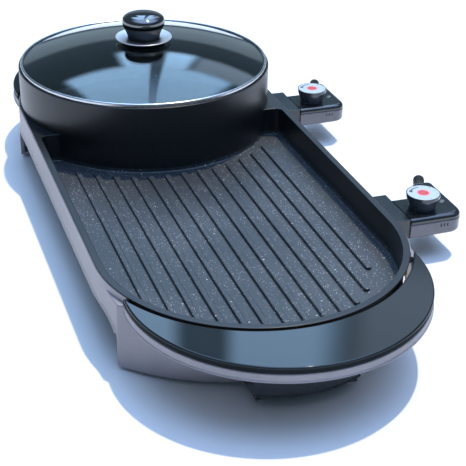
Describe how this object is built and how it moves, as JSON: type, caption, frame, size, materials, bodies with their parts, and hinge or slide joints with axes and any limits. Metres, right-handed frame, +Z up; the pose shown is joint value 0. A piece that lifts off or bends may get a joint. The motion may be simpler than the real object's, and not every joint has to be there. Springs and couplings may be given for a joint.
{
  "type": "hot pot and grill combo cooker",
  "caption": "Electric table cooker: a ribbed grill tray and a round lidded pot cast in one pan, on a plastic base with plug-in dial controllers, end handles and a drip drawer.",
  "frame": {"origin": "middle of the object's outline on the table, at the level of the feet's undersides", "axes": "+Z up, +X towards the plug-in controllers, -Y towards the grill's rounded end, +Y towards the pot"},
  "size_m": [0.3982, 0.781, 0.1759],
  "materials": {
    "pan_coating": "die-cast aluminium under a matte dark non-stick coating with pale speckles",
    "base_plastic": "moulded black heat-proof plastic, glossy",
    "cover_plastic": "polished black plastic",
    "controller_plastic": "moulded black plastic, glossy",
    "knob_plastic": "polished black phenolic plastic",
    "lid_glass": "tempered glass, clear with a slight blue-green cast",
    "chrome": "polished chrome plate",
    "ring_steel": "satin stainless steel",
    "screw_steel": "zinc-plated steel",
    "heater_steel": "steel sheath, darkened by heat",
    "plate_steel": "aluminised steel sheet",
    "rubber": "matte black rubber",
    "silicone": "dark silicone",
    "dial_label": "pale satin disc with a red centre",
    "lamp_plastic": "milky lens",
    "plug_ceramic": "dark moulded insulator",
    "contact_brass": "plain brass"
  },
  "bodies": {
    "cooker": {"pan": "pan_coating", "base": "base_plastic", "pot_socket": "base_plastic", "grill_socket": "base_plastic", "front_handle_cover": "cover_plastic", "rear_handle_cover": "cover_plastic", "pot_heater": "heater_steel", "pot_heat_plate": "plate_steel", "pot_socket_screw": "screw_steel", "grill_heater": "heater_steel", "grill_heat_plate": "plate_steel", "grill_socket_screw": "screw_steel", "foot_front_left": "rubber", "pan_screw_front_left": "screw_steel", "foot_front_right": "rubber", "pan_screw_front_right": "screw_steel", "foot_rear_left": "rubber", "pan_screw_rear_left": "screw_steel", "foot_rear_right": "rubber", "pan_screw_rear_right": "screw_steel", "pot_plate_screw": "screw_steel", "grill_plate_screw_front": "screw_steel", "grill_plate_screw_rear": "screw_steel"},
    "lid": {"lid_screw": "screw_steel", "lid_washer": "screw_steel", "lid_glass": "lid_glass", "lid_ring": "ring_steel", "lid_gasket": "silicone", "lid_disc": "chrome", "lid_knob": "knob_plastic"},
    "pot_controller": {"pot_controller_top": "controller_plastic", "pot_controller_bottom": "controller_plastic", "pot_gland": "rubber", "pot_lamp": "lamp_plastic", "pot_plug_block": "plug_ceramic", "pot_thermostat": "plug_ceramic", "pot_probe": "screw_steel", "pot_contact_front": "contact_brass", "pot_contact_rear": "contact_brass"},
    "pot_dial": {"pot_dial": "controller_plastic", "pot_dial_label": "dial_label"},
    "grill_controller": {"grill_controller_top": "controller_plastic", "grill_controller_bottom": "controller_plastic", "grill_gland": "rubber", "grill_lamp": "lamp_plastic", "grill_plug_block": "plug_ceramic", "grill_thermostat": "plug_ceramic", "grill_probe": "screw_steel", "grill_contact_front": "contact_brass", "grill_contact_rear": "contact_brass"},
    "grill_dial": {"grill_dial": "controller_plastic", "grill_dial_label": "dial_label"},
    "drip_drawer": {"drip_drawer": "base_plastic"}
  },
  "joints": [
    {"name": "lid_lift", "type": "slide", "parent": "cooker", "child": "lid", "axis": [0, 0, 1], "range_m": [0, 0.12]},
    {"name": "drawer_pull", "type": "slide", "parent": "cooker", "child": "drip_drawer", "axis": [0, -1, 0], "range_m": [0, 0.1]},
    {"name": "pot_controller_pull", "type": "slide", "parent": "cooker", "child": "pot_controller", "axis": [1, 0, 0], "range_m": [0, 0.07]},
    {"name": "pot_dial_turn", "type": "hinge", "parent": "pot_controller", "child": "pot_dial", "pos_m": [0.15698, 0.172, 0.049], "axis": [0, 0, -1], "range_deg": [0, 270]},
    {"name": "grill_controller_pull", "type": "slide", "parent": "cooker", "child": "grill_controller", "axis": [1, 0, 0], "range_m": [0, 0.07]},
    {"name": "grill_dial_turn", "type": "hinge", "parent": "grill_controller", "child": "grill_dial", "pos_m": [0.15698, -0.1267, 0.049], "axis": [0, 0, -1], "range_deg": [0, 270]}
  ]
}
